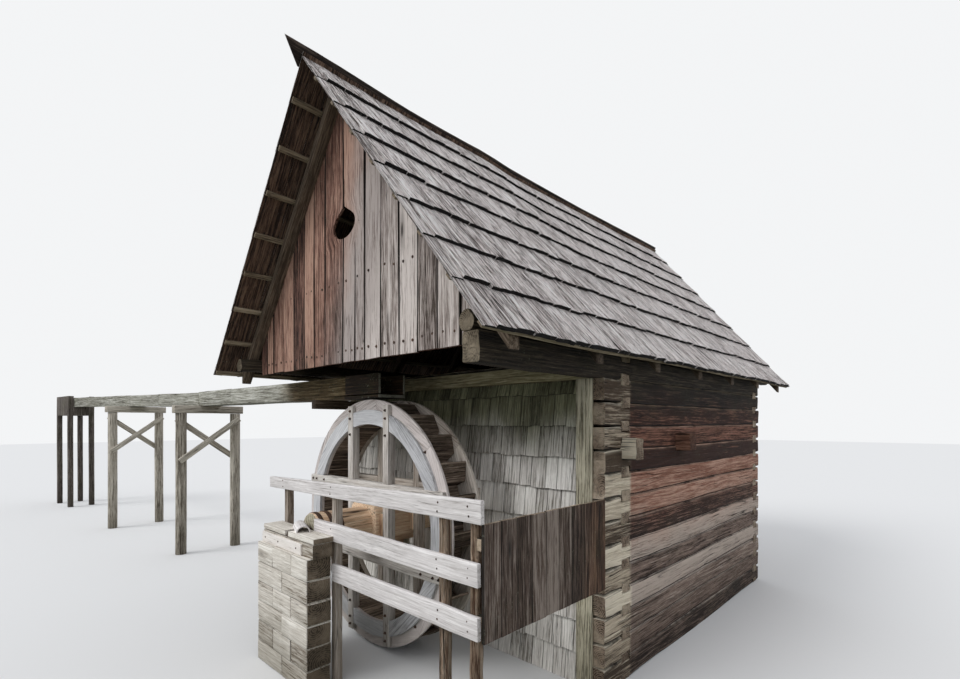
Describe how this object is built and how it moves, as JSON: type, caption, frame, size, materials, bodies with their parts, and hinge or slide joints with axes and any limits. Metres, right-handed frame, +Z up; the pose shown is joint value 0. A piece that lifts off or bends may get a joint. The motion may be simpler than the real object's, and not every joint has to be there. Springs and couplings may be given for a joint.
{
  "type": "log watermill with overshot wheel",
  "caption": "Small hollow log watermill with a steep board roof, an overshot wheel turning under its gable overhang, rails, a board fence and a timber flume on trestles.",
  "frame": {"origin": "on the floor, at the middle of the underside of the front wall's sill log", "axes": "+X to the right along the front, +Y from the front to the rear along the ridge, +Z up"},
  "size_m": [18.7721, 7.905, 6.2754],
  "materials": {
    "log_wood": "weathered, unpainted",
    "frame_wood": "weathered, unpainted",
    "gable_boards": "weathered, unpainted",
    "roof_boards": "weathered, unpainted",
    "shingles": "weathered, unpainted",
    "block_wood": "weathered, unpainted",
    "rail_wood": "weathered, unpainted",
    "fence_wood": "weathered, unpainted",
    "flume_wood": "weathered, unpainted",
    "axle_wood": "weathered, unpainted",
    "ring_wood": "weathered, unpainted",
    "bucket_wood": "weathered, unpainted",
    "arm_wood": "weathered, unpainted",
    "iron": "rusted"
  },
  "bodies": {
    "mill": {"front_wall": "log_wood", "rear_wall": "log_wood", "left_wall": "log_wood", "right_wall": "log_wood", "cross_beam": "log_wood", "left_plate": "frame_wood", "right_plate": "frame_wood", "corbel_log": "log_wood", "front_tie": "frame_wood", "rear_tie": "frame_wood", "front_gable": "gable_boards", "rear_gable": "gable_boards", "left_rafters": "frame_wood", "right_rafters": "frame_wood", "left_battens": "frame_wood", "right_battens": "frame_wood", "left_roof_boards": "roof_boards", "right_roof_boards": "roof_boards", "ridge_board": "roof_boards", "shingle_cladding": "shingles", "cladding_head": "shingles", "corner_board": "shingles", "bearing_base": "block_wood", "bearing_timber": "block_wood", "bearing_cap": "block_wood", "inner_bearing": "block_wood", "rail_posts": "rail_wood", "top_rail": "rail_wood", "middle_rail": "rail_wood", "bottom_rail": "rail_wood", "board_fence": "fence_wood", "fence_ledgers": "fence_wood", "near_flume": "flume_wood", "outer_flume": "flume_wood", "flume_post": "flume_wood", "flume_bearer": "flume_wood", "first_trestle": "flume_wood", "second_trestle": "flume_wood", "inlet_box": "flume_wood"},
    "wheel": {"wheel_axle": "axle_wood", "axle_hoops": "iron", "gudgeons": "iron", "near_ring": "ring_wood", "far_ring": "ring_wood", "sole_boards": "bucket_wood", "buckets": "bucket_wood", "near_arms": "arm_wood", "far_arms": "arm_wood", "arm_wedges": "axle_wood"}
  },
  "joints": [
    {"name": "wheel_turn", "type": "hinge", "parent": "mill", "child": "wheel", "pos_m": [-0.318, -1.0845, 1.43], "axis": [0, 1, 0], "continuous": true}
  ]
}
